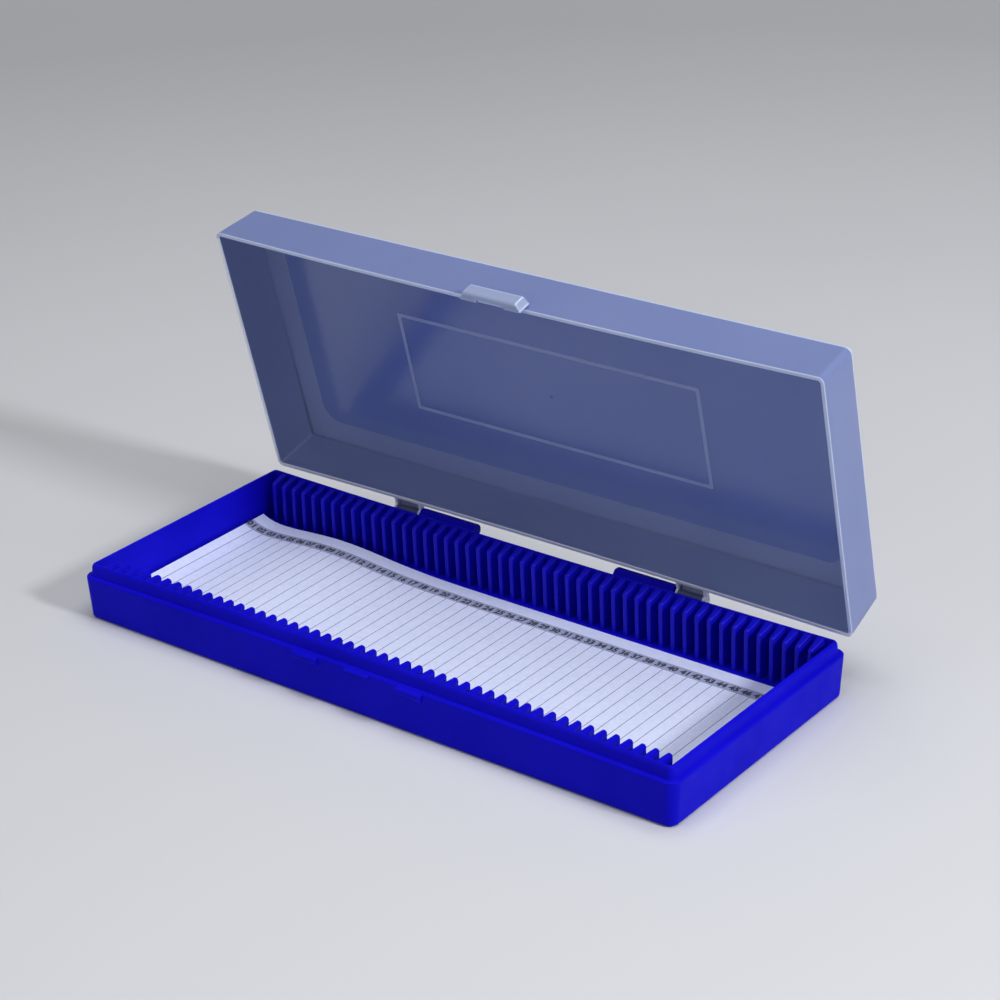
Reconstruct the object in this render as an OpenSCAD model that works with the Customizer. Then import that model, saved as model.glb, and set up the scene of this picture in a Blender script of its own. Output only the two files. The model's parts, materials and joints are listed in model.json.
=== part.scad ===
// Hinged box for microscope slides: a ribbed tray, a drafted lid on two pin hinges and a loose paper index.
// Millimetres. X runs along the box, Y towards the hinge and Z up; the origin is the middle of the underside.

/* [Tray] */
// Outer length at the ledge
tray_l = 208; // [170:1:250]
// Outer depth at the ledge
tray_d = 86; // [80:0.5:110]
// Height of the ledge that the lid sits on
ledge_h = 13.6; // [12:0.1:20]
// Width of that ledge
ledge_w = 1.5; // [1.4:0.05:1.8]
// Height of the inner rim above the ledge
rim_h = 3.6; // [3:0.1:5]
// Thickness of the inner rim at its foot
rim_t = 1.5; // [1.2:0.05:2.2]
// How far the rim's outer face leans in towards its top
rim_draft = 0.25; // [0.2:0.05:0.4]
// Radius of the upright corners at the ledge
corner_r = 3.5; // [3.3:0.1:5]
// How far each outer wall leans in towards the base
tray_draft = 0.7; // [0.3:0.1:1]
// Rounding where the walls meet the underside
base_round = 1.2; // [0.6:0.1:1.8]
// Thickness of the floor
floor_t = 1.8; // [1.2:0.1:2.5]
// Radius of the upright corners inside
cavity_r = 0.5; // [0.3:0.1:1]

/* [Slots] */
// Number of slide slots
slot_n = 50; // [40:1:52]
// Thickness of a rib at its tip
rib_t = 1.5; // [1:0.1:1.8]
// Thickness of a rib where it meets the wall
rib_root_t = 2.6; // [1.8:0.1:2.8]
// How far a rib stands out from the long wall
rib_depth = 6; // [4:0.1:7]
// Drop of the rib's top below the rim's top
rib_drop = 0.5; // [0.2:0.1:1.5]
// Rounding of the rib's upper inner corner
rib_round = 1.4; // [0.6:0.1:2]

/* [Lid] */
// Height of the lid from its rim to its top face
lid_h = 16.8; // [13:0.1:20]
// Thickness of the lid's walls
lid_t = 1.2; // [1:0.05:1.25]
// Thickness of the lid's panel
panel_t = 1.3; // [1:0.1:2]
// How far each lid wall leans in towards the panel
lid_draft = 1; // [0.5:0.1:1]
// Rounding between the lid's walls and its panel
lid_round = 2.2; // [1.5:0.1:2.2]
// Gap between the lid's rim and the ledge when shut
seat_gap = 0.1; // [0.05:0.01:0.2]
// Angle of the lid from shut, as it stands open
open_angle = 76; // [0:1:100]

/* [Hinge] */
// Radius of the hinge knuckles
knuckle_r = 2.1; // [1.8:0.05:2.5]
// Gap between the knuckles and the rear wall
knuckle_gap = 0.6; // [0.5:0.05:1]
// Height of the hinge axis above the ledge
hinge_rise = 0.3; // [0.2:0.05:1]
// Distance from the middle of the box to a bracket
bracket_x = 25.6; // [15:0.1:30]
// Length of a bracket
bracket_l = 20.6; // [12:0.1:24]
// Rise of the sloping foot under a bracket
bracket_foot = 5; // [3:0.1:5.5]
// Radius of the hinge pins
pin_r = 1; // [0.8:0.05:1.2]
// Radial clearance of the pins in the lugs
pin_gap = 0.05; // [0.03:0.01:0.08]
// Length of a lid lug
lug_l = 10.7; // [8:0.1:12]
// Gap between a bracket's end and its lug
lug_gap = 0.25; // [0.2:0.05:0.5]

/* [Latch] */
// Width of the clasp on the lid
clasp_w = 20.8; // [16:0.1:22]
// How far the clasp stands out from the lid's wall
clasp_out = 3; // [2.6:0.1:4]
// How far the clasp hangs below the lid's rim
clasp_drop = 2.4; // [2:0.1:3]
// How far the clasp reaches up the lid's wall
clasp_rise = 2.3; // [1.5:0.1:4]
// Gap between the clasp and the tray
clasp_gap = 0.3; // [0.2:0.05:0.5]
// Width of the nib that the clasp closes over
nib_w = 8.6; // [5:0.1:10]
// Height of the nib
nib_h = 1.5; // [1:0.1:1.8]
// How far the nib stands out from the tray's wall
nib_out = 0.9; // [0.6:0.1:1.2]
// Gap between the clasp's side and an ear
ear_gap = 2.5; // [1:0.1:4]
// Length of an ear
ear_l = 11.3; // [6:0.1:14]
// Height of an ear
ear_h = 3; // [2:0.1:4]
// How far an ear stands out from the tray's wall
ear_out = 1.2; // [0.8:0.1:2]

/* [Label frame] */
// Length of the raised frame on the lid's panel
label_l = 106; // [60:1:140]
// Depth of the raised frame
label_d = 34.5; // [20:0.5:60]
// Width of the frame's line
label_line = 1.2; // [0.8:0.1:2]
// Height of the frame's line
label_raise = 0.4; // [0.3:0.05:0.8]

/* [Index sheet] */
// Gap between the sheet and each end wall
sheet_end_gap = 1; // [0.5:0.5:20]
// Gap between the sheet and the rib tips
sheet_side_gap = 2; // [0.5:0.5:10]
// Thickness of the sheet
sheet_t = 0.3; // [0.2:0.05:0.5]
// Gap between the sheet and the floor
sheet_gap = 0.1; // [0.05:0.05:0.3]
// Height of the sheet's low hump
hump_h = 2.6; // [0:0.1:4]
// Distance of the hump from the sheet's left end
hump_in = 32; // [20:1:150]
// Spread of the hump
hump_w = 24; // [15:1:40]
// How far the sheet's two ends curl up
curl_h = 2.9; // [0:0.1:5]
// Length over which the ends curl
curl_w = 4.5; // [2:0.1:8]

/* [Hidden] */
$fn = 48;
// Steps in a rounded edge
round_n = 6;
// Steps along the sheet
sheet_n = 64;
// Overlap that keeps cuts clean
eps = 1;
// Where a bracket's foot meets its knuckle, as a share of the radius, just inside its surface
heel_share = 0.66;
// Least radius left at the lid's upper corners
corner_left = 0.3;

rim_top = ledge_h + rim_h;
cavity_l = tray_l - 2 * (ledge_w + rim_t);
cavity_d = tray_d - 2 * (ledge_w + rim_t);
slot_pitch = cavity_l / slot_n;
rib_top = rim_top - rib_drop;
rib_tip = cavity_d / 2 - rib_depth;
// How much a rib's side leans, in X for each unit of Y
rib_taper = (rib_root_t - rib_t) / 2 / rib_depth;
lid_z = ledge_h + seat_gap;
lid_top = lid_z + lid_h;
lid_bend = min(lid_round, corner_r - lid_draft - corner_left);
inner_bend = max(lid_bend - lid_t, corner_left);
hinge_y = tray_d / 2 + knuckle_gap + knuckle_r;
hinge_z = ledge_h + hinge_rise;
lug_x = bracket_x + bracket_l + lug_gap;
pin_l = lug_gap + lug_l + lug_gap;
ear_x = clasp_w / 2 + ear_gap;
sheet_l = cavity_l - 2 * sheet_end_gap;
sheet_d = 2 * (rib_tip - sheet_side_gap);
hump_x = hump_in - sheet_l / 2;

tray_blue = [0.05, 0.06, 0.78];
lid_frost = [0.74, 0.80, 0.92, 0.6];
paper_white = [0.95, 0.95, 0.97];

// Points of an arc about (x, z)
function arc(x, z, r, from, to) = [
    for (i = [0 : round_n])
        let (a = from + (to - from) * i / round_n)
            [x + r * cos(a), z + r * sin(a)]
];

// Outer side of the tray as [inset, z], from the underside to the ledge
function tray_side() = concat(
    arc(tray_draft + base_round, base_round, base_round, 270, 180),
    [[0, ledge_h]]
);

// Side of the rim as [inset, z]
function rim_side() = [[0, ledge_h - eps], [0, ledge_h], [rim_draft, rim_top]];

// Side of the lid as [inset, z], from its rim, or below it, to its top
function lid_side(below, top, bend) = concat(
    below > 0 ? [[0, lid_z - below]] : [],
    [[0, lid_z]],
    arc(lid_draft + bend, top - bend, bend, 180, 90)
);

// Height of the sheet above its lowest part
function sheet_rise(x) =
    hump_h * exp(-pow((x - hump_x) / hump_w, 2))
    + curl_h * exp(-(sheet_l / 2 + x) / curl_w)
    + curl_h * exp(-(sheet_l / 2 - x) / curl_w);

// Box with upright rounded corners, whose sides follow a list of [inset, z]
module loaf(l, d, r, side) {
    last = len(side) - 1;
    function outline(half) = concat(
        [for (p = side) [half - p[0], p[1]]],
        [for (i = [last : -1 : 0]) [side[i][0] - half, side[i][1]]]
    );
    translate([r - l / 2, 0, 0])
        rotate([90, 0, 90])
            linear_extrude(l - 2 * r) polygon(outline(d / 2));
    translate([0, d / 2 - r, 0])
        rotate([90, 0, 0])
            linear_extrude(d - 2 * r) polygon(outline(l / 2));
    for (x = [-1, 1], y = [-1, 1])
        translate([x * (l / 2 - r), y * (d / 2 - r), 0])
            rotate_extrude()
                polygon(concat(
                    [[0, side[0][1]]],
                    [for (p = side) [r - p[0], p[1]]],
                    [[0, side[last][1]]]
                ));
}

// Profile in the YZ plane, drawn out along X from x0 over length l
module along_x(x0, l) {
    translate([x0, 0, 0])
        rotate([90, 0, 90])
            linear_extrude(l) children();
}

module tray_body() {
    loaf(tray_l, tray_d, corner_r, tray_side());
}

// The lid's outer form, shut, reaching some way below its rim
module lid_body(below) {
    loaf(tray_l, tray_d, corner_r, lid_side(below, lid_top, lid_bend));
}

// Turns the shut lid to where it stands open
module lid_open() {
    translate([0, hinge_y, hinge_z])
        rotate([-open_angle, 0, 0])
            translate([0, -hinge_y, -hinge_z]) children();
}

module tray_shell() {
    color(tray_blue)
    difference() {
        union() {
            tray_body();
            loaf(tray_l - 2 * ledge_w, tray_d - 2 * ledge_w, corner_r - ledge_w, rim_side());
        }
        loaf(cavity_l, cavity_d, cavity_r, [[0, floor_t], [0, rim_top + eps]]);
    }
}

// One rib of the rear wall, thicker at its root than at its tip
module rib() {
    back = cavity_d / 2;
    reach = rib_root_t / 2 + eps;
    tip_half = rib_t / 2 - eps * rib_taper;
    root_half = rib_root_t / 2 + eps * rib_taper;
    intersection() {
        along_x(-reach, 2 * reach)
            polygon(concat(
                [[back, floor_t], [back, rib_top]],
                arc(rib_tip + rib_round, rib_top - rib_round, rib_round, 90, 180),
                [[rib_tip, floor_t]]
            ));
        linear_extrude(rim_top)
            polygon([
                [-tip_half, rib_tip - eps],
                [tip_half, rib_tip - eps],
                [root_half, back + eps],
                [-root_half, back + eps]
            ]);
    }
}

module rear_ribs() {
    for (i = [1 : slot_n - 1])
        translate([i * slot_pitch - cavity_l / 2, 0, 0]) rib();
}

module rear_slot_ribs() {
    color(tray_blue) rear_ribs();
}

module front_slot_ribs() {
    color(tray_blue) mirror([0, 1, 0]) rear_ribs();
}

module bracket() {
    wall = tray_d / 2;
    heel = knuckle_r * heel_share;
    difference() {
        union() {
            along_x(bracket_x, bracket_l)
                translate([hinge_y, hinge_z]) circle(knuckle_r);
            along_x(bracket_x, bracket_l)
                polygon([
                    [wall - eps, ledge_h - seat_gap],
                    [wall - eps, hinge_z - heel - bracket_foot - eps],
                    [wall, hinge_z - heel - bracket_foot],
                    [hinge_y + heel, hinge_z - heel],
                    [hinge_y, ledge_h - seat_gap]
                ]);
        }
        tray_body();
    }
}

module hinge_bracket_right() {
    color(tray_blue) bracket();
}

module hinge_bracket_left() {
    color(tray_blue) mirror([1, 0, 0]) bracket();
}

module pin() {
    translate([bracket_x + bracket_l, hinge_y, hinge_z])
        rotate([0, 90, 0]) cylinder(h = pin_l, r = pin_r);
}

module hinge_pin_right() {
    color(tray_blue) pin();
}

module hinge_pin_left() {
    color(tray_blue) mirror([1, 0, 0]) pin();
}

module latch_nib() {
    wall = -tray_d / 2;
    color(tray_blue)
    difference() {
        along_x(-nib_w / 2, nib_w)
            polygon([
                [wall + eps, ledge_h],
                [wall - nib_out, ledge_h],
                [wall - nib_out, ledge_h - nib_h / 2],
                [wall, ledge_h - nib_h],
                [wall + eps, ledge_h - nib_h]
            ]);
        tray_body();
    }
}

module ear() {
    wall = -tray_d / 2;
    difference() {
        along_x(ear_x, ear_l)
            polygon([
                [wall + eps, ledge_h],
                [wall - ear_out, ledge_h],
                [wall - ear_out, ledge_h - ear_h / 2],
                [wall, ledge_h - ear_h],
                [wall + eps, ledge_h - ear_h]
            ]);
        tray_body();
    }
}

module latch_ear_right() {
    color(tray_blue) ear();
}

module latch_ear_left() {
    color(tray_blue) mirror([1, 0, 0]) ear();
}

module lid_shell() {
    color(lid_frost)
    lid_open()
    difference() {
        lid_body(0);
        loaf(
            tray_l - 2 * lid_t, tray_d - 2 * lid_t, corner_r - lid_t,
            lid_side(eps, lid_top - panel_t, inner_bend)
        );
    }
}

module lug() {
    wall = tray_d / 2;
    difference() {
        union() {
            along_x(lug_x, lug_l)
                translate([hinge_y, hinge_z]) circle(knuckle_r);
            along_x(lug_x, lug_l)
                polygon([
                    [wall - lid_draft - eps, lid_z],
                    [hinge_y, lid_z],
                    [hinge_y, hinge_z + knuckle_r],
                    [wall - lid_draft - eps, hinge_z + knuckle_r]
                ]);
        }
        lid_body(eps);
        translate([lug_x - eps, hinge_y, hinge_z])
            rotate([0, 90, 0]) cylinder(h = lug_l + 2 * eps, r = pin_r + pin_gap);
    }
}

module lid_lug_right() {
    color(lid_frost) lid_open() lug();
}

module lid_lug_left() {
    color(lid_frost) lid_open() mirror([1, 0, 0]) lug();
}

module lid_clasp() {
    wall = -tray_d / 2;
    flat_w = clasp_w - 2 * clasp_out;
    foot = lid_z - clasp_drop;
    color(lid_frost)
    lid_open()
    difference() {
        translate([0, wall, foot])
            linear_extrude(clasp_drop + clasp_rise) {
                translate([-flat_w / 2, -clasp_out]) square([flat_w, clasp_out + lid_draft]);
                for (x = [-1, 1])
                    translate([x * flat_w / 2, 0]) circle(clasp_out);
            }
        lid_body(eps);
        translate([-clasp_w, wall - clasp_gap, foot - eps])
            cube([2 * clasp_w, tray_d, clasp_drop + eps]);
        translate([-nib_w / 2 - clasp_gap, wall - nib_out - clasp_gap, foot - eps])
            cube([nib_w + 2 * clasp_gap, tray_d, clasp_drop + eps]);
    }
}

module label_frame() {
    color(lid_frost)
    lid_open()
        translate([0, 0, lid_top])
            linear_extrude(label_raise)
                difference() {
                    square([label_l, label_d], center = true);
                    square([label_l - 2 * label_line, label_d - 2 * label_line], center = true);
                }
}

module index_sheet() {
    low = floor_t + sheet_gap;
    xs = [for (i = [0 : sheet_n]) sheet_l * (i / sheet_n - 0.5)];
    color(paper_white)
        translate([0, sheet_d / 2, 0])
            rotate([90, 0, 0])
                linear_extrude(sheet_d)
                    polygon(concat(
                        [for (x = xs) [x, low + sheet_rise(x)]],
                        [for (i = [sheet_n : -1 : 0]) [xs[i], low + sheet_rise(xs[i]) + sheet_t]]
                    ));
}

tray_shell();
front_slot_ribs();
rear_slot_ribs();
hinge_bracket_left();
hinge_bracket_right();
hinge_pin_left();
hinge_pin_right();
latch_nib();
latch_ear_left();
latch_ear_right();
lid_shell();
lid_lug_left();
lid_lug_right();
lid_clasp();
label_frame();
index_sheet();
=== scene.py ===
import json
import math

import bmesh
import bpy
from mathutils import Matrix, Vector


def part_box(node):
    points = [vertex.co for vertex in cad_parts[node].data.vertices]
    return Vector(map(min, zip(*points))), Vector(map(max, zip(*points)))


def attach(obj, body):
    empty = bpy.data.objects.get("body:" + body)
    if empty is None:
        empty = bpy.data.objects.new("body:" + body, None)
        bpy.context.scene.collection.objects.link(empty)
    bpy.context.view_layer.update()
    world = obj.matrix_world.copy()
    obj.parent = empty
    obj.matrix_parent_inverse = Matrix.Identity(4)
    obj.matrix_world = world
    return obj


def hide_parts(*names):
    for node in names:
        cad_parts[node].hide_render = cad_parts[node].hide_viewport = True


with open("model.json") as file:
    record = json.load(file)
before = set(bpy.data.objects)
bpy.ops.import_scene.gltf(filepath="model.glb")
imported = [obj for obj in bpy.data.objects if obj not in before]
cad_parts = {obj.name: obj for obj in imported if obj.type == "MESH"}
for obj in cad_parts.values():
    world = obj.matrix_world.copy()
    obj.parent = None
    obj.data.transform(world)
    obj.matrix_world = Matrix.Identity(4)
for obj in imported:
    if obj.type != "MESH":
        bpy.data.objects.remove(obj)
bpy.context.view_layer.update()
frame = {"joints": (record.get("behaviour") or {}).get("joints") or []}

# All sizes are millimetres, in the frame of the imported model
MM = 0.001


def size_of(node):
    """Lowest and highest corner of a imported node."""
    low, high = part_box(node)
    return low / MM, high / MM


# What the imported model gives
tray_low, tray_high = size_of("tray_shell")
rib_low, rib_high = size_of("rear_slot_ribs")
ear_low, ear_high = size_of("latch_ear_right")
nib_low, nib_high = size_of("latch_nib")
bracket_low, bracket_high = size_of("hinge_bracket_right")
pin_low, pin_high = size_of("hinge_pin_right")
lug_start = size_of("lid_lug_right")[0].x
clasp_half = size_of("lid_clasp")[1].x
sheet_low, sheet_high = size_of("index_sheet")
lid_hinge = next(joint for joint in frame["joints"] if joint["name"] == "lid_hinge")

tray_l = tray_high.x - tray_low.x
tray_d = tray_high.y - tray_low.y
rim_top = tray_high.z
ledge_h = ear_high.z
floor_z = rib_low.z
wall_y = rib_high.y
hinge_y = lid_hinge["pos_m"][1] / MM
hinge_z = lid_hinge["pos_m"][2] / MM
open_angle = math.radians(lid_hinge["range_deg"][0])

# Tray
CORNER_R = 3.5
LEAST_R = 0.05
TRAY_DRAFT = 0.7
BASE_ROUND = 1.2
LEDGE_W = 1.5
LEDGE_ROUND = 0.6
RIM_DRAFT = 0.25
RIM_ROUND = 0.9
RIM_TALL = 1.9
RIM_IN_ROUND = 0.3
RIM_FOOT = 0.2
FLOOR_ROUND = 0.5

# Slots
SLOT_N = 50
RIB_T = 1.4
RIB_ROOT_T = 2.6
REAR_RIB_EDGE = 0.48
FRONT_RIB_EDGE = 0.18
RIB_SUNK = 0.6
RIB_RISE = 0.4
REAR_RIB = {"side": 1, "fall": 0.8, "tip_round": 1.0, "ridge": 1.0}
FRONT_RIB = {"side": -1, "fall": -0.2, "tip_round": 1.0, "ridge": 0.35}

# How far the long walls are drawn in at mid-length, and from where across the box
DRAWN_IN = 1.2
DRAWN_FROM = 30

# Lid, as it lies when shut
SEAT_GAP = 0.1
LID_H = 16.8
LID_T = 1.2
PANEL_T = 1.3
LID_DRAFT = 1.0
LID_CORNER_R = 2.0
LID_ROUND = 1.3
INNER_ROUND = 0.5
LID_RIM_ROUND = 0.25
FIELD_IN = 7.8
FIELD_R = 6
FIELD_STEP = 0.12
FIELD_RUN = 0.3
LABEL_L = 106
LABEL_D = 34.5
LABEL_LINE = 1.2
LABEL_RAISE = 0.4
LABEL_EDGE = 0.12
LABEL_SINK = 0.06
LABEL_CORNER = 0.6
LABEL_SHIFT = 0.6
GATE_R = 0.55
GATE_H = 0.25
lid_z = ledge_h + SEAT_GAP
lid_top = lid_z + LID_H
panel_z = lid_top - PANEL_T

# Hinge
KNUCKLE_R = 2.1
PIN_R = 1.0
BORE_R = 1.05
BRACKET_FRONT = 2.35
BRACKET_STEEP = 0.9
BRACKET_FLAT = 1.3
HINGE_EDGE = 0.25
WALL_SUNK = 2.0
LUG_SUNK = 1.3
LUG_R = 1.6
LUG_TRIM = 0.8
CHEEK_T = 0.9
CHEEK_OUT = 0.3
LUG_RECESS = 0.5
BLIND_T = 1.0

# Latch
CLASP_OUT = 3
CLASP_DROP = 2.4
CLASP_RISE = 2.3
CLASP_GAP = 0.3
CLASP_END = 1.4
CLASP_TIP = 0.9
CLASP_EDGE = 0.28
CLASP_ROUND = 1.0
CLASP_BEVEL = 0.6
LATCH_EDGE = 0.25
LATCH_SUNK = 1.0
LATCH_DROP = 0.02
LATCH_SLOPE = 0.5
EAR_TRIM_IN = 1.1
EAR_TRIM_OUT = 1.5

# Index sheet
SHEET_T = 0.16
SHEET_GAP = 0.1
HUMP_H = 2.6
HUMP_IN = 32
HUMP_W = 24
HUMP_FRONT = 0.6
CURL_H = 2.9
CURL_W = 4.5
FOLD_W = 4.6
FOLD_SOFT = 0.35
SHEET_STEPS_X = 240
SHEET_STEPS_Y = 24
STRIP_LOW = 23.2
STRIP_HIGH = 27.2
RULE_W = 0.17
INK_T = 0.02
DIGIT_H = 2.5
NUMBER_W = 3.3
DIGIT_BOLD = 0.045

# Steps in round edges
CORNER_STEPS = 8
EDGE_STEPS = 4
SIDE_STEPS = 16
SHARP = math.radians(34)
PIN_STEPS = 24
LUG_STEPS = 48
BEVEL_STEPS = 3
DIGIT_STEPS = 2
WELD = 0.0001


# Shapes

def arc(x, z, r, start, end, steps=EDGE_STEPS, tall=1):
    """Points of an arc about (x, z), with its angles in degrees; tall stretches it upward."""
    turn = (end - start) / steps
    angles = [math.radians(start + turn * i) for i in range(steps + 1)]
    return [(x + r * math.cos(a), z + tall * r * math.sin(a)) for a in angles]


def rectangle(half_l, half_d, r, z):
    """Closed level outline with round corners, which has as many points at every size."""
    quarters = ((1, 1, 0), (-1, 1, 90), (-1, -1, 180), (1, -1, 270))
    corners = [
        arc(x * (half_l - r), y * (half_d - r), r, start, start + 90, CORNER_STEPS)
        for x, y, start in quarters
    ]
    outline = []
    for i, corner in enumerate(corners):
        start = Vector(corner[-1])
        end = Vector(corners[(i + 1) % len(corners)][0])
        outline += corner
        outline += [start.lerp(end, k / SIDE_STEPS) for k in range(1, SIDE_STEPS)]
    return [(x, y, z) for x, y in outline]


def ring(inset, z, corner=CORNER_R):
    """Outline of the box at one inset and height."""
    r = max(corner - inset, LEAST_R)
    return rectangle(tray_l / 2 - inset, tray_d / 2 - inset, r, z)


def loft(rings, closed=False):
    """Points and faces of a solid through rings of equal count, closed on itself or capped at both ends."""
    n = len(rings[0])
    last = len(rings) - 1
    points = [p for one in rings for p in one]
    steps = [(k, k + 1) for k in range(last)]
    if closed:
        steps.append((last, 0))
    faces = []
    for a, b in steps:
        for i in range(n):
            j = (i + 1) % n
            faces.append((a * n + i, a * n + j, b * n + j, b * n + i))
    if not closed:
        faces.append(tuple(reversed(range(n))))
        faces.append(tuple(range(last * n, last * n + n)))
    return points, faces


def joined(solids):
    """Several solids as one."""
    points = []
    faces = []
    for solid_points, solid_faces in solids:
        start = len(points)
        points += solid_points
        faces += [tuple(start + i for i in face) for face in solid_faces]
    return points, faces


def moved(solid, move):
    """A solid with each point passed through one function."""
    points, faces = solid
    return [tuple(move(p)) for p in points], faces


def mirrored(solid):
    """A solid on the other side of the box's middle."""
    return moved(solid, lambda p: (-p[0], p[1], p[2]))


def shrunk(outline, by):
    """Closed outline, drawn anticlockwise, moved in by one distance."""
    n = len(outline)
    inner = []
    for i in range(n):
        before, here, after = (Vector(outline[k % n]) for k in (i - 1, i, i + 1))
        along_a = (here - before).normalized()
        along_b = (after - here).normalized()
        in_a = Vector((-along_a.y, along_a.x))
        in_b = Vector((-along_b.y, along_b.x))
        inner.append(here + (in_a + in_b) * (by / (1 + in_a.dot(in_b))))
    return inner


def along_x(outline, start, end, edge):
    """Bar along X with an outline in YZ, drawn anticlockwise, and rounded end edges."""
    turns = [math.radians(90 * i / EDGE_STEPS) for i in range(EDGE_STEPS + 1)]
    near = [(edge * (1 - math.sin(t)), start + edge * (1 - math.cos(t))) for t in turns]
    far = [(inset, start + end - x) for inset, x in reversed(near)]
    rings = [[(x, y, z) for y, z in shrunk(outline, inset)] for inset, x in near + far]
    return loft(rings)


def drawn_in(p, share):
    """A point of the box, where some share of the bow draws the long walls in along their middle."""
    x, y, z = p
    along = max(0, 1 - (2 * x / tray_l) ** 2)
    across = min(1, max(0, (abs(y) - DRAWN_FROM) / (wall_y - DRAWN_FROM)))
    limited = min(1, max(0, share))
    return x, y - math.copysign(DRAWN_IN * limited * along * across, y), z


def tray_drawn_in(p):
    """A point of the tray, whose foot stays straight."""
    return drawn_in(p, p[2] / ledge_h)


def lid_drawn_in(p):
    """A point of the shut lid, whose panel stays straight."""
    return drawn_in(p, (lid_top - p[2]) / LID_H)


to_open = (
    Matrix.Translation((0, hinge_y, hinge_z))
    @ Matrix.Rotation(open_angle, 4, "X")
    @ Matrix.Translation((0, -hinge_y, -hinge_z))
)


def opened(p):
    """A point of the shut lid, where the open lid has it."""
    return to_open @ Vector(p)


def zone_numbers(rings, zones):
    """Material number of each face of a capped loft, from one per step and one for each cap."""
    n = len(rings[0])
    return [zone for zone in zones[:-2] for _ in range(n)] + zones[-2:]


def piece(name, solid, body, slot, materials, stands_for=(), zones=(), edge=0, edge_zone=-1):
    """One visible piece, from points in millimetres; edge and edge_zone describe its softened edges."""
    points, faces = solid
    mesh = bpy.data.meshes.new(name)
    mesh.from_pydata([Vector(p) * MM for p in points], [], faces)
    if zones:
        mesh.polygons.foreach_set("material_index", zones)
    work = bmesh.new()
    work.from_mesh(mesh)
    bmesh.ops.remove_doubles(work, verts=work.verts, dist=WELD * MM)
    bmesh.ops.recalc_face_normals(work, faces=work.faces)
    if edge:
        hard = [e for e in work.edges if e.calc_face_angle(0) > SHARP]
        bmesh.ops.bevel(
            work, geom=hard, offset=edge * MM, segments=BEVEL_STEPS, profile=0.5,
            affect="EDGES", material=edge_zone,
        )
        bmesh.ops.dissolve_degenerate(work, edges=work.edges, dist=WELD * MM)
    work.to_mesh(mesh)
    work.free()
    mesh.shade_smooth()
    mesh.set_sharp_from_angle(angle=SHARP)
    for material in materials:
        mesh.materials.append(material)
    obj = bpy.data.objects.new(name, mesh)
    bpy.context.scene.collection.objects.link(obj)
    obj.modifiers.new("even_normals", "WEIGHTED_NORMAL").keep_sharp = True
    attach(obj, body)
    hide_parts(*stands_for)
    return obj


# Tray

def tray_solid():
    """Tray shell, as one profile of [inset, z] taken round the box."""
    rim_foot = LEDGE_W - RIM_FOOT
    rim_out = LEDGE_W + RIM_DRAFT + RIM_ROUND
    inner = tray_d / 2 - wall_y
    rim_in = inner - RIM_IN_ROUND
    profile = arc(TRAY_DRAFT + BASE_ROUND, BASE_ROUND, BASE_ROUND, 270, 180)
    profile += arc(LEDGE_ROUND, ledge_h - LEDGE_ROUND, LEDGE_ROUND, 180, 90)
    profile += arc(rim_foot, ledge_h + RIM_FOOT, RIM_FOOT, 270, 360)
    profile += arc(rim_out, rim_top - RIM_TALL * RIM_ROUND, RIM_ROUND, 180, 90, 2 * EDGE_STEPS, RIM_TALL)
    profile += arc(rim_in, rim_top - RIM_IN_ROUND, RIM_IN_ROUND, 90, 0)
    profile += arc(inner + FLOOR_ROUND, floor_z + FLOOR_ROUND, FLOOR_ROUND, 180, 270)
    return moved(loft([ring(inset, z) for inset, z in profile]), tray_drawn_in)


def rib_places():
    """Middle of each rib along the box."""
    pitch = (rib_high.x - rib_low.x - RIB_ROOT_T) / (SLOT_N - 2)
    return [rib_low.x + RIB_ROOT_T / 2 + pitch * i for i in range(SLOT_N - 1)]


def rib_solid(side, fall, tip_round, ridge):
    """All ribs of one long wall, thicker at their roots.

    side is 1 for the rear wall and -1 for the front; a rib's top falls to its tip, and keeps
    the share ridge of its thickness.
    """
    tip = rib_low.y
    top = rib_high.z - fall
    root = wall_y + RIB_SUNK
    levels = [(tip, floor_z - RIB_SUNK)]
    levels += arc(tip + tip_round, top - tip_round, tip_round, 180, 90)

    def half_t(y):
        """Half of a rib's thickness at one place across the box."""
        return (RIB_T + (RIB_ROOT_T - RIB_T) * (y - tip) / (root - tip)) / 2

    def level(x, y, z):
        """Outline of a rib at one height; its top runs up to the rim and narrows to a ridge."""
        share = max(0, z - top + tip_round) / tip_round
        back = z + (fall + RIB_RISE) * share
        slim = 1 - (1 - ridge) * share
        wide = half_t(root) * slim
        thin = half_t(y) * slim
        return [(x - wide, root, back), (x - thin, y, z), (x + thin, y, z), (x + wide, root, back)]

    ribs = [loft([level(x, y, z) for y, z in levels]) for x in rib_places()]
    return moved(joined(ribs), lambda p: tray_drawn_in((p[0], side * p[1], p[2])))


def bracket_solid():
    """Hinge bracket on the right: a flat-faced knuckle on a foot that runs down the rear wall."""
    wall = tray_d / 2
    shelf = ledge_h - SEAT_GAP
    foot = bracket_low.z
    front = hinge_y - BRACKET_FRONT
    outline = [(wall - WALL_SUNK, shelf), (wall - WALL_SUNK, foot), (wall, foot)]
    outline += arc(hinge_y, hinge_z, KNUCKLE_R, -45, 90, 3 * EDGE_STEPS)
    outline += [
        (hinge_y - BRACKET_FLAT, hinge_z + KNUCKLE_R),
        (front, hinge_z + BRACKET_STEEP),
        (front, shelf),
    ]
    return along_x(outline, bracket_low.x, bracket_high.x, HINGE_EDGE)


def pin_solid():
    """Hinge pin on the right, with its root inside the bracket."""
    outline = arc(hinge_y, hinge_z, PIN_R, 0, 360 - 360 / PIN_STEPS, PIN_STEPS - 1)
    return along_x(outline, pin_low.x - PIN_R, pin_high.x - LUG_TRIM - BLIND_T, HINGE_EDGE)


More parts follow.
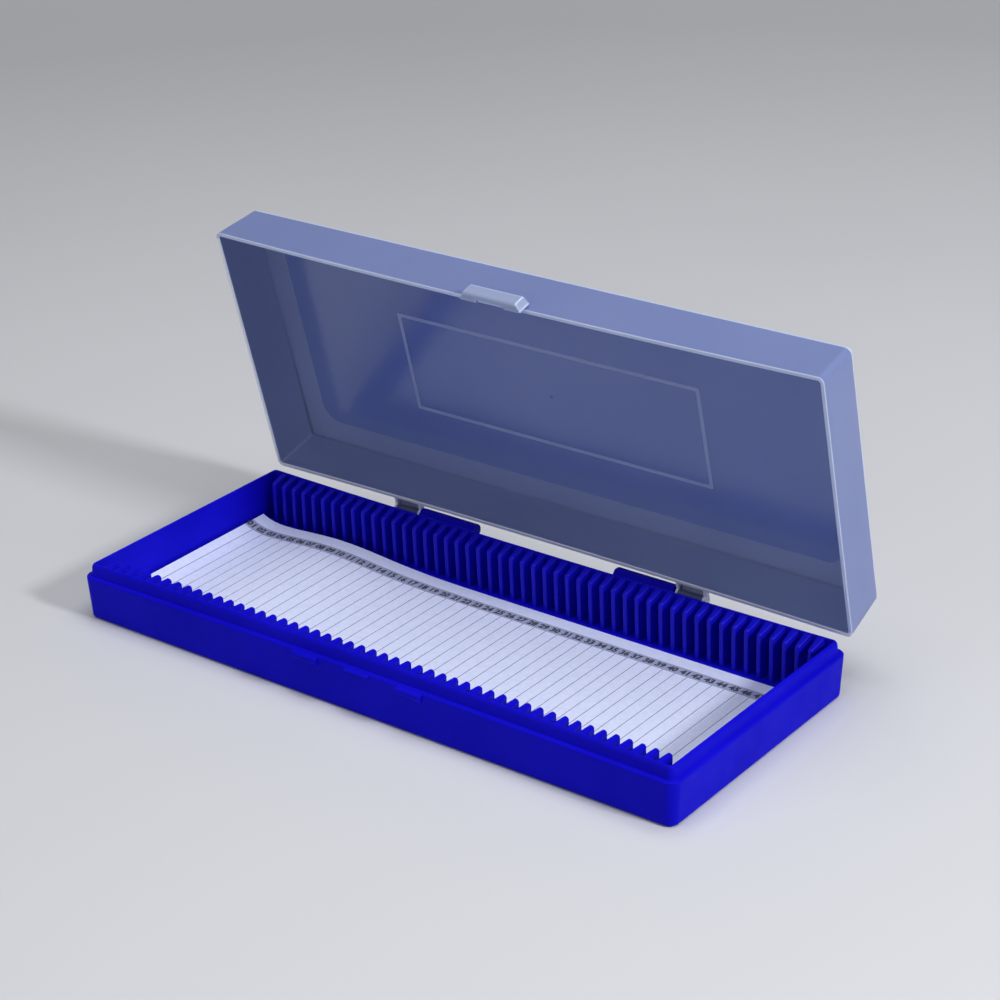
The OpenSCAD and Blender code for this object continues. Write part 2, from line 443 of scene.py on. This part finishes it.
def latch_solid(low, high, trim_in=0, trim_out=0):
    """Raised rib under the front ledge: its top slopes outward and its underside slopes back."""
    wall = -tray_d / 2
    mid = (low.z + high.z) / 2
    top = high.z - LATCH_DROP
    outline = [
        (low.y, top - LATCH_SLOPE),
        (low.y, min(mid, top - LATCH_SLOPE - LATCH_EDGE)),
        (wall, low.z),
        (wall + LATCH_SUNK, low.z),
        (wall + LATCH_SUNK, top),
    ]
    return moved(along_x(outline, low.x + trim_in, high.x - trim_out, LATCH_EDGE), tray_drawn_in)


# Lid

def label_ring(inset, z):
    """Outline of the label frame at one inset and height."""
    outline = rectangle(LABEL_L / 2 - inset, LABEL_D / 2 - inset, LABEL_CORNER, z)
    return [(x, y + LABEL_SHIFT, z) for x, y, z in outline]


def label_rings():
    """Raised frame on the outside of the panel, from its field to its outer foot."""
    sides = (
        (LABEL_LINE, 0),
        (LABEL_LINE, LABEL_RAISE - LABEL_EDGE),
        (LABEL_LINE - LABEL_EDGE, LABEL_RAISE),
        (LABEL_EDGE, LABEL_RAISE),
        (0, LABEL_RAISE - LABEL_EDGE),
        (0, 0),
    )
    return [label_ring(inset, lid_top + rise) for inset, rise in sides]


# Places of the lid's materials in its list: one plastic, with the inside and field painted darker as shade
# and the bend, rim and label painted paler as highlights
WALL, INNER_SHADE, FIELD_SHADE, BACK, BEND_HIGHLIGHT, RIM_HIGHLIGHT, LABEL_HIGHLIGHT = range(7)


def lid_solid():
    """Lid shell, as one profile taken from the label field over the rim to the panel's inside."""
    bend = LID_DRAFT + LID_ROUND
    inner = LID_T + LID_DRAFT + INNER_ROUND
    rim = LID_RIM_ROUND
    outer_bend = arc(bend, lid_top - LID_ROUND, LID_ROUND, 90, 180)
    lid_rim_painted_highlight = arc(rim, lid_z + rim, rim, 180, 270) + arc(LID_T - rim, lid_z + rim, rim, 270, 360)
    inner_bend = arc(inner, panel_z - INNER_ROUND, INNER_ROUND, 180, 90)
    label = label_rings()
    rings = list(label)
    for profile, corner in ((outer_bend, LID_DRAFT), (lid_rim_painted_highlight, 0), (inner_bend, LID_DRAFT)):
        rings += [ring(inset, z, LID_CORNER_R + corner) for inset, z in profile]
    zones = [BACK] * len(label)
    zones += [BEND_HIGHLIGHT] * (len(outer_bend) - 1) + [WALL]
    zones += [RIM_HIGHLIGHT] * (len(lid_rim_painted_highlight) - 1) + [INNER_SHADE]
    zones += [INNER_SHADE] * len(inner_bend)
    field = LID_T + LID_DRAFT + FIELD_IN
    for inset, z in ((field, panel_z), (field + FIELD_RUN, panel_z + FIELD_STEP)):
        rings.append(rectangle(tray_l / 2 - inset, tray_d / 2 - inset, FIELD_R, z))
    zones += [INNER_SHADE, FIELD_SHADE]
    gate_z = panel_z + FIELD_STEP
    sink = ((0, 0), (LABEL_EDGE, LABEL_SINK), (LABEL_LINE - LABEL_EDGE, LABEL_SINK), (LABEL_LINE, 0))
    for inset, rise in sink:
        rings.append(label_ring(inset, gate_z + rise))
    zones += [LABEL_HIGHLIGHT] * (len(sink) - 1) + [FIELD_SHADE]
    for r, z in ((GATE_R, gate_z), (GATE_R, gate_z - GATE_H), (GATE_R / 2, gate_z - GATE_H)):
        rings.append(rectangle(r, r, r, z))
    zones += [FIELD_SHADE, FIELD_SHADE]
    numbers = zone_numbers(rings, zones + [BACK, FIELD_SHADE])
    # Along one half the rim takes the bend's weaker painted highlight instead of the rim's brighter one,
    # and the middle faces of one corner of the wall take it too, as a painted highlight down that corner
    count = len(rings[0])
    for i, zone in enumerate(numbers):
        if zone == RIM_HIGHLIGHT and i % count >= count / 2:
            numbers[i] = BEND_HIGHLIGHT
    corner = zones.index(WALL) * count + count // 2
    for i in range(CORNER_STEPS // 4, CORNER_STEPS * 3 // 4):
        numbers[corner + i] = BEND_HIGHLIGHT
    return moved(moved(loft(rings), lid_drawn_in), opened), numbers


def lug_solid():
    """Hinge lug on the right: a blind eye between two cheeks, with a recessed web to the rear wall."""
    web = hinge_y - tray_d / 2 + LUG_SUNK
    below = hinge_z - lid_z
    turns = [2 * math.pi * i / LUG_STEPS for i in range(LUG_STEPS)]

    def reach(turn, inset, recess):
        """Distance from the eye's middle to the lug's outline."""
        y = math.cos(turn)
        z = math.sin(turn)
        r = LUG_R - inset
        if y >= 0 or (recess and z < -recess * y):
            return r
        sides = [web / -y]
        if z > 0:
            sides.append(r / z)
        if z < 0:
            sides.append((below - inset / 2) / -z)
        return max(r, min(sides))

    def eye(x, inset, recess=0):
        """Outline of the lug at one place along it."""
        reaches = [(t, reach(t, inset, recess)) for t in turns]
        return [(x, hinge_y + r * math.cos(t), hinge_z + r * math.sin(t)) for t, r in reaches]

    def bore(x):
        """Outline of the bore at one place along it."""
        return [(x, hinge_y + BORE_R * math.cos(t), hinge_z + BORE_R * math.sin(t)) for t in turns]

    end = pin_high.x - LUG_TRIM
    rings = [
        bore(end - BLIND_T + HINGE_EDGE),
        bore(lug_start),
        eye(lug_start, HINGE_EDGE),
        eye(lug_start + HINGE_EDGE, 0),
        eye(lug_start + CHEEK_T, 0),
        eye(lug_start + CHEEK_T, CHEEK_OUT, LUG_RECESS),
        eye(end - CHEEK_T, CHEEK_OUT, LUG_RECESS),
        eye(end - CHEEK_T, 0),
        eye(end - HINGE_EDGE, 0),
        eye(end, HINGE_EDGE),
    ]
    # The cheeks and the lug's end take the rim's painted highlight, and the recessed middle and bore take
    # the inside's painted shade
    cheek = [RIM_HIGHLIGHT] * 4
    zones = [INNER_SHADE] + cheek + [INNER_SHADE] + cheek[1:]
    caps = [INNER_SHADE, RIM_HIGHLIGHT]
    return moved(loft(rings), opened), zone_numbers(rings, zones + caps)


def clasp_solid():
    """Clasp: a bar with slanted ends that reaches below the rim, notched for the nib, and its root."""
    wall = -tray_d / 2
    notch = nib_high.x + CLASP_GAP
    face = wall - CLASP_GAP
    notch_y = nib_low.y - CLASP_GAP
    low = lid_z - CLASP_DROP
    high = lid_z + CLASP_RISE

    def section(x, out, back):
        """Outline of the bar at one place along it, where it stands out from the wall by one distance."""
        share = (out - CLASP_GAP) / (CLASP_OUT - CLASP_GAP)
        bevel = CLASP_BEVEL * share
        r = CLASP_ROUND * share
        y = wall - out
        outline = [(back, low), (back, high), (y + bevel, high), (y, high - bevel)]
        outline += arc(y + r, low + r, r, 180, 270)
        return [(x, *p) for p in outline]

    places = [
        (-clasp_half, CLASP_TIP, face),
        (CLASP_END - clasp_half, CLASP_OUT, face),
        (-notch, CLASP_OUT, face),
        (-notch, CLASP_OUT, notch_y),
    ]
    places += [(-x, out, back) for x, out, back in reversed(places)]
    bar = loft([section(*place) for place in places])
    root_outline = [
        (notch_y, lid_z + LID_RIM_ROUND),
        (wall + LATCH_SUNK, lid_z + LID_RIM_ROUND),
        (wall + LATCH_SUNK, high - CLASP_BEVEL),
        (notch_y, high - CLASP_BEVEL),
    ]
    root_half = clasp_half - CLASP_END
    root = along_x(root_outline, -root_half, root_half, HINGE_EDGE)
    return moved(moved(joined([bar, root]), lid_drawn_in), opened)


# Index sheet

sheet_l = sheet_high.x - sheet_low.x
sheet_d = sheet_high.y - sheet_low.y


def sheet_top(x, y):
    """Height of the paper's upper side."""
    back_share = HUMP_FRONT + (1 - HUMP_FRONT) * (y - sheet_low.y) / sheet_d
    hump = HUMP_H * back_share * math.exp(-((x - sheet_low.x - HUMP_IN) / HUMP_W) ** 2)
    left = CURL_H * math.exp(-(x - sheet_low.x) / CURL_W)
    past_fold = FOLD_W - (sheet_high.x - x)
    right = CURL_H / FOLD_W * (past_fold + math.hypot(past_fold, FOLD_SOFT)) / 2
    return floor_z + SHEET_GAP + SHEET_T + hump + left + right


sheet_xs = [sheet_low.x + sheet_l * i / SHEET_STEPS_X for i in range(SHEET_STEPS_X + 1)]


def sheet_solid():
    """Paper as a thin closed sheet, wavy along the box."""
    ys = [sheet_low.y + sheet_d * i / SHEET_STEPS_Y for i in range(SHEET_STEPS_Y + 1)]
    rings = []
    for x in sheet_xs:
        upper = [(x, y, sheet_top(x, y)) for y in ys]
        lower = [(x, y, sheet_top(x, y) - SHEET_T) for y in reversed(ys)]
        rings.append(upper + lower)
    return loft(rings)


def on_sheet(p):
    """A point of the print, laid on the paper."""
    x, y, z = p
    return x, y, z + sheet_top(x, y)


def rule_solid(x):
    """One ruled line across the sheet, in front of the numbers."""
    ys = [sheet_low.y + (STRIP_LOW - sheet_low.y) * i / SHEET_STEPS_Y for i in range(SHEET_STEPS_Y + 1)]
    section = ((-RULE_W / 2, 0), (RULE_W / 2, 0), (RULE_W / 2, INK_T), (-RULE_W / 2, INK_T))
    return loft([[on_sheet((x + dx, y, dz)) for dx, dz in section] for y in ys])


def number_solid(number, x):
    """A plain number in its slot's column."""
    curve = bpy.data.curves.new("number", "FONT")
    curve.body = f"{number:02d}"
    curve.align_x = "CENTER"
    curve.align_y = "CENTER"
    curve.resolution_u = DIGIT_STEPS
    curve.extrude = INK_T / 2
    curve.offset = DIGIT_BOLD
    text = bpy.data.objects.new("number", curve)
    bpy.context.scene.collection.objects.link(text)
    bpy.context.view_layer.update()
    mesh = text.to_mesh()
    points = [tuple(v.co) for v in mesh.vertices]
    faces = [tuple(f.vertices) for f in mesh.polygons]
    text.to_mesh_clear()
    bpy.data.objects.remove(text)
    bpy.data.curves.remove(curve)
    low = min(p[1] for p in points)
    high = max(p[1] for p in points)
    left = min(p[0] for p in points)
    right = max(p[0] for p in points)
    tall = DIGIT_H / (high - low)
    wide = min(tall, NUMBER_W / (right - left))
    mid_x = (left + right) / 2
    mid_y = (low + high) / 2
    strip_y = (STRIP_LOW + STRIP_HIGH) / 2

    def place(p):
        """A point of the number, in its column on the paper."""
        return on_sheet((x + (p[0] - mid_x) * wide, strip_y + (p[1] - mid_y) * tall, p[2] + INK_T / 2))

    return moved((points, faces), place)


def print_solid():
    """Ruled lines under the ribs and the numbers of the slots between them."""
    places = rib_places()
    pitch = places[1] - places[0]
    solids = [rule_solid(x) for x in places]
    solids += [number_solid(i + 1, places[0] + pitch * (i - 0.5)) for i in range(SLOT_N)]
    return joined(solids)


# Materials, with linear colours, noise scales per metre and relief in metres

PLASTIC_IOR = 1.46
TONE_LOW = 0.3
TONE_HIGH = 0.7

# How pale the far floor is to the eye, and the distances in metres over which that grows
GLOW = 0.36
GLOW_FROM = 0.7
GLOW_FULL = 1.9


def new_material(name):
    """A material with its tree and its one shader."""
    material = bpy.data.materials.new(name)
    material.use_nodes = True
    tree = material.node_tree
    return material, tree, tree.nodes["Principled BSDF"]


def noise(tree, scale, detail=2.0):
    """Noise in the piece's own coordinates, with its scale per metre."""
    place = tree.nodes.new("ShaderNodeTexCoord")
    texture = tree.nodes.new("ShaderNodeTexNoise")
    texture.inputs["Scale"].default_value = scale
    texture.inputs["Detail"].default_value = detail
    tree.links.new(place.outputs["Object"], texture.inputs["Vector"])
    return texture.outputs["Fac"]


def spread(tree, value, low, high, start=0.35, end=0.65):
    """A noise value stretched over a range."""
    node = tree.nodes.new("ShaderNodeMapRange")
    node.inputs["From Min"].default_value = start
    node.inputs["From Max"].default_value = end
    node.inputs["To Min"].default_value = low
    node.inputs["To Max"].default_value = high
    tree.links.new(value, node.inputs["Value"])
    return node.outputs["Result"]


def two_tones(tree, value, first, second):
    """A colour between two, by a noise value."""
    ramp = tree.nodes.new("ShaderNodeValToRGB")
    ramp.color_ramp.elements[0].position = TONE_LOW
    ramp.color_ramp.elements[0].color = (*first, 1)
    ramp.color_ramp.elements[1].position = TONE_HIGH
    ramp.color_ramp.elements[1].color = (*second, 1)
    tree.links.new(value, ramp.inputs["Fac"])
    return ramp.outputs["Color"]


def bump(tree, shader, height, strength, distance):
    """Fine relief on a shader."""
    node = tree.nodes.new("ShaderNodeBump")
    node.inputs["Strength"].default_value = strength
    node.inputs["Distance"].default_value = distance
    tree.links.new(height, node.inputs["Height"])
    tree.links.new(node.outputs["Normal"], shader.inputs["Normal"])


def tray_plastic(name, shine):
    """Royal blue moulded plastic with a satin skin."""
    material, tree, shader = new_material(name)
    shader.inputs["IOR"].default_value = PLASTIC_IOR
    shader.inputs["Specular IOR Level"].default_value = shine
    flow = noise(tree, scale=45, detail=3)
    colour = two_tones(tree, flow, (0.0045, 0.003, 0.50), (0.0065, 0.0045, 0.57))
    tree.links.new(colour, shader.inputs["Base Color"])
    patches = noise(tree, scale=160, detail=4)
    tree.links.new(spread(tree, patches, low=0.4, high=0.5), shader.inputs["Roughness"])
    bump(tree, shader, noise(tree, scale=1400), strength=0.12, distance=0.00008)
    return material


def lid_plastic(name, clear, dark, light, smooth=0.4, rough=0.5, grain=0.1):
    """Natural plastic between two tones and two roughnesses; clear is the share of light let through."""
    material, tree, shader = new_material(name)
    shader.inputs["IOR"].default_value = PLASTIC_IOR
    shader.inputs["Transmission Weight"].default_value = clear
    shader.inputs["Coat Weight"].default_value = 0.3
    shader.inputs["Coat Roughness"].default_value = 0.2
    flow = noise(tree, scale=14, detail=1)
    patches = noise(tree, scale=22, detail=1)
    tree.links.new(two_tones(tree, flow, dark, light), shader.inputs["Base Color"])
    tree.links.new(spread(tree, patches, smooth, rough), shader.inputs["Roughness"])
    if grain:
        bump(tree, shader, noise(tree, scale=900, detail=3), strength=grain, distance=0.0001)
    return material


def combined(tree, operation, first, second):
    """Result of one operation on two values, each a socket or a number."""
    node = tree.nodes.new("ShaderNodeMath")
    node.operation = operation
    for socket, value in zip(node.inputs, (first, second)):
        if isinstance(value, float):
            socket.default_value = value
        else:
            tree.links.new(value, socket)
    return node.outputs[0]


def in_span(tree, value, low, high):
    """1 where a coordinate lies in a span, and 0 elsewhere."""
    above = combined(tree, "GREATER_THAN", value, low * MM)
    below = combined(tree, "LESS_THAN", value, high * MM)
    return combined(tree, "MULTIPLY", above, below)


def tinted(tree, colour, share, tint):
    """A colour with a printed tint over part of it."""
    mix = tree.nodes.new("ShaderNodeMix")
    mix.data_type = "RGBA"
    mix.blend_type = "MULTIPLY"
    first, second = [socket for socket in mix.inputs if socket.type == "RGBA"]
    second.default_value = (*tint, 1)
    tree.links.new(share, mix.inputs["Factor"])
    tree.links.new(colour, first)
    return next(socket for socket in mix.outputs if socket.type == "RGBA")


def paper():
    """White uncoated paper with a grey tint behind its numbers."""
    material, tree, shader = new_material("paper")
    shader.inputs["Roughness"].default_value = 0.85
    shader.inputs["Specular IOR Level"].default_value = 0.25
    fibres = noise(tree, scale=700, detail=6)
    colour = two_tones(tree, fibres, (0.64, 0.69, 0.93), (0.71, 0.76, 0.98))
    place = tree.nodes.new("ShaderNodeTexCoord")
    split = tree.nodes.new("ShaderNodeSeparateXYZ")
    tree.links.new(place.outputs["Object"], split.inputs[0])
    strip = in_span(tree, split.outputs["Y"], STRIP_LOW, STRIP_HIGH)
    colour = tinted(tree, colour, strip, (0.50, 0.51, 0.58))
    tree.links.new(colour, shader.inputs["Base Color"])
    bump(tree, shader, noise(tree, scale=2200, detail=4), strength=0.25, distance=0.00006)
    return material


def ink():
    """Dark grey print, a little uneven."""
    material, tree, shader = new_material("ink")
    shader.inputs["Roughness"].default_value = 0.7
    blots = noise(tree, scale=1500, detail=3)
    colour = two_tones(tree, blots, (0.02, 0.02, 0.035), (0.06, 0.06, 0.09))
    tree.links.new(colour, shader.inputs["Base Color"])
    return material


def any_of(tree, sockets):
    """1 where one of several values is 1."""
    total = sockets[0]
    for socket in sockets[1:]:
        total = combined(tree, "MAXIMUM", total, socket)
    return total


def floor_material():
    """Plain pale table top, which stays pale to the eye where the lamps don't reach."""
    material, tree, shader = new_material("floor")
    shader.inputs["Roughness"].default_value = 0.55
    shader.inputs["Emission Color"].default_value = (0.96, 0.97, 1, 1)
    place = tree.nodes.new("ShaderNodeTexCoord")
    length = tree.nodes.new("ShaderNodeVectorMath")
    length.operation = "LENGTH"
    tree.links.new(place.outputs["Object"], length.inputs[0])
    path = tree.nodes.new("ShaderNodeLightPath")
    seen = any_of(tree, [path.outputs[f"Is {kind} Ray"] for kind in ("Camera", "Glossy", "Transmission")])
    far = spread(tree, length.outputs["Value"], 0, GLOW, GLOW_FROM, GLOW_FULL)
    tree.links.new(combined(tree, "MULTIPLY", far, seen), shader.inputs["Emission Strength"])
    colour = two_tones(tree, noise(tree, scale=3), (0.62, 0.63, 0.66), (0.65, 0.66, 0.69))
    tree.links.new(colour, shader.inputs["Base Color"])
    return material


# Pieces

blue = [tray_plastic("tray_plastic", shine=0.035)]
rib_blue = [tray_plastic("rib_plastic", shine=0.2)]
clear = [
    lid_plastic("lid_frosted", 0.5, (0.29, 0.37, 0.74), (0.33, 0.41, 0.78)),
    # Inside faces: the same plastic painted darker, as painted shade inside the lid
    lid_plastic("lid_inside_painted_shade", 0.75, (0.17, 0.22, 0.42), (0.21, 0.26, 0.47)),
    # Label field: really polished, and painted dark as the shade seen through the clear window
    lid_plastic(
        "lid_polished_painted_shade", 0.8, (0.065, 0.105, 0.33), (0.09, 0.13, 0.37), smooth=0.14, rough=0.18, grain=0
    ),
    lid_plastic("lid_back", 0.6, (0.34, 0.42, 0.76), (0.38, 0.46, 0.80), smooth=0.3, rough=0.4),
    # Rounded top edges: the same plastic painted paler, a painted highlight along the bend
    lid_plastic("lid_bend", 0.15, (0.58, 0.66, 0.90), (0.63, 0.71, 0.94)),
    # Rim, lug cheeks and lug end: the same plastic painted near white, a painted highlight of light caught
    # in the frosted edge
    lid_plastic("lid_rim_painted_highlight", 0.05, (0.84, 0.90, 0.98), (0.88, 0.93, 1.0)),
    # Band on the panel's inside under the label frame: painted paler than the field, a painted highlight
    # that shows the frame through the panel
    lid_plastic("lid_label_painted_highlight", 0.65, (0.28, 0.34, 0.58), (0.32, 0.38, 0.62)),
]
thick = [
    lid_plastic("lid_thick", 0.3, (0.40, 0.48, 0.73), (0.46, 0.54, 0.78), smooth=0.36, rough=0.46),
    # The clasp's bevelled edges take the bend's painted highlight
    clear[BEND_HIGHLIGHT],
]
THICK_EDGE_HIGHLIGHT = 1


def tray_piece(name, solid, node, materials, edge=0):
    """A piece of the tray's moulding, which stands for one node."""
    piece(name, solid, "tray", "tray_plastic", materials, [node], edge=edge)


def lid_piece(name, solid, nodes, materials, **finish):
    """A piece of the lid's moulding."""
    piece(name, solid, "lid", "lid_plastic", materials, nodes, **finish)


tray_piece("tray_body", tray_solid(), "tray_shell", blue)
tray_piece("rear_ribs", rib_solid(**REAR_RIB), "rear_slot_ribs", rib_blue, REAR_RIB_EDGE)
tray_piece("front_ribs", rib_solid(**FRONT_RIB), "front_slot_ribs", blue, FRONT_RIB_EDGE)
tray_piece("latch_bump", latch_solid(nib_low, nib_high), "latch_nib", blue)
ear = latch_solid(ear_low, ear_high, EAR_TRIM_IN, EAR_TRIM_OUT)
bracket = bracket_solid()
pin = pin_solid()
lug, lug_zones = lug_solid()
for side, turn in (("right", lambda solid: solid), ("left", mirrored)):
    tray_piece(f"ear_{side}", turn(ear), f"latch_ear_{side}", blue)
    tray_piece(f"bracket_{side}", turn(bracket), f"hinge_bracket_{side}", blue)
    tray_piece(f"pin_{side}", turn(pin), f"hinge_pin_{side}", blue)
    lid_piece(f"lug_{side}", turn(lug), [f"lid_lug_{side}"], clear, zones=lug_zones)
lid, lid_zones = lid_solid()
lid_piece("lid_body", lid, ["lid_shell", "label_frame"], clear, zones=lid_zones)
lid_piece("clasp", clasp_solid(), ["lid_clasp"], thick, edge=CLASP_EDGE, edge_zone=THICK_EDGE_HIGHLIGHT)

sheet = piece("paper_sheet", sheet_solid(), "sheet", "paper", [paper()], ["index_sheet"])
marks = piece("sheet_print", print_solid(), "sheet", "paper", [ink()])

# Stage

FLOOR_HALF = 12.0
ground = bpy.data.meshes.new("floor")
ground.from_pydata(
    [(x * FLOOR_HALF, y * FLOOR_HALF, 0) for x, y in ((-1, -1), (1, -1), (1, 1), (-1, 1))],
    [],
    [(0, 1, 2, 3)],
)
ground.materials.append(floor_material())
floor = bpy.data.objects.new("floor", ground)
bpy.context.scene.collection.objects.link(floor)

# Light

# Places and sizes of the lamps are metres, and their power is watts
LAMP_AIM = Vector((0, 0, 0.03))
WORLD_COLOUR = (0.80, 0.82, 0.86, 1)
WORLD_LEVEL = 0.22


def softbox(name, place, size, power):
    """A square lamp that faces the box."""
    lamp = bpy.data.lights.new(name, "AREA")
    lamp.shape = "SQUARE"
    lamp.size = size
    lamp.energy = power
    obj = bpy.data.objects.new(name, lamp)
    obj.location = place
    obj.rotation_mode = "QUATERNION"
    obj.rotation_quaternion = (LAMP_AIM - Vector(place)).to_track_quat("-Z", "Y")
    bpy.context.scene.collection.objects.link(obj)


softbox("key", place=(1.06, 0, 0.69), size=0.16, power=9.4)
softbox("top", place=(0.1, 0.02, 1.05), size=0.9, power=6.5)
softbox("front", place=(-0.4, -1.1, 0.55), size=0.8, power=2.3)
world = bpy.data.worlds.new("studio")
world.use_nodes = True
sky = world.node_tree.nodes["Background"]
sky.inputs["Color"].default_value = WORLD_COLOUR
sky.inputs["Strength"].default_value = WORLD_LEVEL
bpy.context.scene.world = world

# Camera

# Distances are millimetres, and the picture's own sizes are pixels
VIEW_AZIMUTH = math.radians(38.271)
VIEW_ELEVATION = math.radians(26.628)
VIEW_ROLL = math.radians(-1.84)
VIEW_DISTANCE = 705.3
VIEW_TARGET = Vector((12.5, -4.2, 30))
IMAGE_SIDE = 1000
FOCAL_PIXELS = 2552.9
CENTRE_PIXEL = (475.0, 576.7)
SENSOR = 36
NEAR_CLIP = 10

back = Vector((
    math.sin(VIEW_AZIMUTH) * math.cos(VIEW_ELEVATION),
    -math.cos(VIEW_AZIMUTH) * math.cos(VIEW_ELEVATION),
    math.sin(VIEW_ELEVATION),
))
level = Vector((math.cos(VIEW_AZIMUTH), math.sin(VIEW_AZIMUTH), 0))
upright = back.cross(level)
right = math.cos(VIEW_ROLL) * level + math.sin(VIEW_ROLL) * upright
up = math.cos(VIEW_ROLL) * upright - math.sin(VIEW_ROLL) * level
lens = bpy.data.cameras.new("camera")
lens.sensor_width = SENSOR
lens.lens = FOCAL_PIXELS * SENSOR / IMAGE_SIDE
lens.shift_x = 0.5 - CENTRE_PIXEL[0] / IMAGE_SIDE
lens.shift_y = CENTRE_PIXEL[1] / IMAGE_SIDE - 0.5
lens.clip_start = NEAR_CLIP * MM
camera = bpy.data.objects.new("camera", lens)
camera.matrix_world = Matrix.Translation((VIEW_TARGET + back * VIEW_DISTANCE) * MM) @ Matrix((
    (right.x, up.x, back.x, 0),
    (right.y, up.y, back.y, 0),
    (right.z, up.z, back.z, 0),
    (0, 0, 0, 1),
))
bpy.context.scene.collection.objects.link(camera)
bpy.context.scene.camera = camera
bpy.context.scene.view_settings.view_transform = "Standard"
